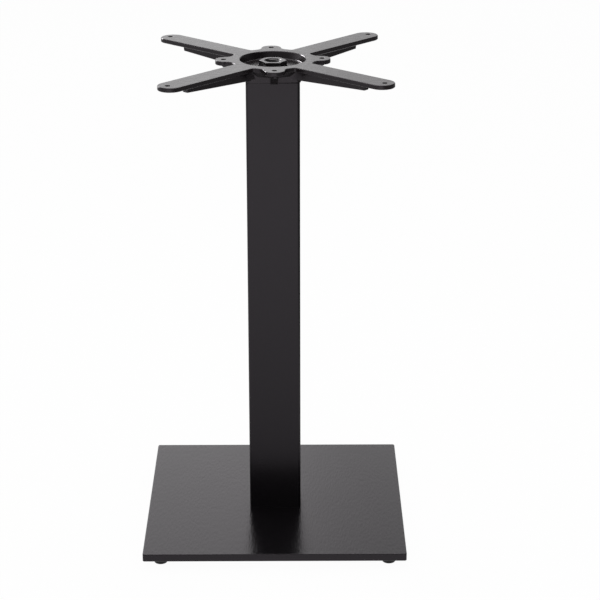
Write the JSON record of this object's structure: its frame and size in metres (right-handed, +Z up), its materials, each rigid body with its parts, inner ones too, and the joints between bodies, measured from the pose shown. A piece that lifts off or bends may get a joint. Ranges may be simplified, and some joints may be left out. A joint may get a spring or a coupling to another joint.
{
  "type": "cast iron table base",
  "caption": "Table base with a flat square plate on levelling feet, a square tube column and a cast spider whose arms and ears take screws into a table top.",
  "frame": {"origin": "on the floor under the column's axis, at the centre of the feet's underside", "axes": "+Z up along the column, front edge of the plate towards -Y, +X to the right seen from the front"},
  "size_m": [0.4, 0.4, 0.742],
  "materials": {
    "plate_paint": "black textured powder coat",
    "spider_paint": "black textured powder coat",
    "column_paint": "black textured powder coat",
    "plain_steel": "plain rolled",
    "zinc_steel": "zinc plated",
    "pad_plastic": "moulded"
  },
  "bodies": {
    "stand": {"base_plate": "plate_paint", "column_tube": "column_paint", "spider": "spider_paint", "tie_rod": "plain_steel", "top_washer": "zinc_steel", "top_nut": "zinc_steel", "bottom_washer": "zinc_steel", "bottom_nut": "zinc_steel"},
    "foot_front_left": {"foot_pad_front_left": "pad_plastic", "foot_stud_front_left": "zinc_steel"},
    "foot_front_right": {"foot_pad_front_right": "pad_plastic", "foot_stud_front_right": "zinc_steel"},
    "foot_back_left": {"foot_pad_back_left": "pad_plastic", "foot_stud_back_left": "zinc_steel"},
    "foot_back_right": {"foot_pad_back_right": "pad_plastic", "foot_stud_back_right": "zinc_steel"}
  },
  "joints": [
    {"name": "level_front_left", "type": "slide", "parent": "stand", "child": "foot_front_left", "axis": [0, 0, 1], "range_m": [-0.0025, 0.0025]},
    {"name": "level_front_right", "type": "slide", "parent": "stand", "child": "foot_front_right", "axis": [0, 0, 1], "range_m": [-0.0025, 0.0025]},
    {"name": "level_back_left", "type": "slide", "parent": "stand", "child": "foot_back_left", "axis": [0, 0, 1], "range_m": [-0.0025, 0.0025]},
    {"name": "level_back_right", "type": "slide", "parent": "stand", "child": "foot_back_right", "axis": [0, 0, 1], "range_m": [-0.0025, 0.0025]}
  ]
}
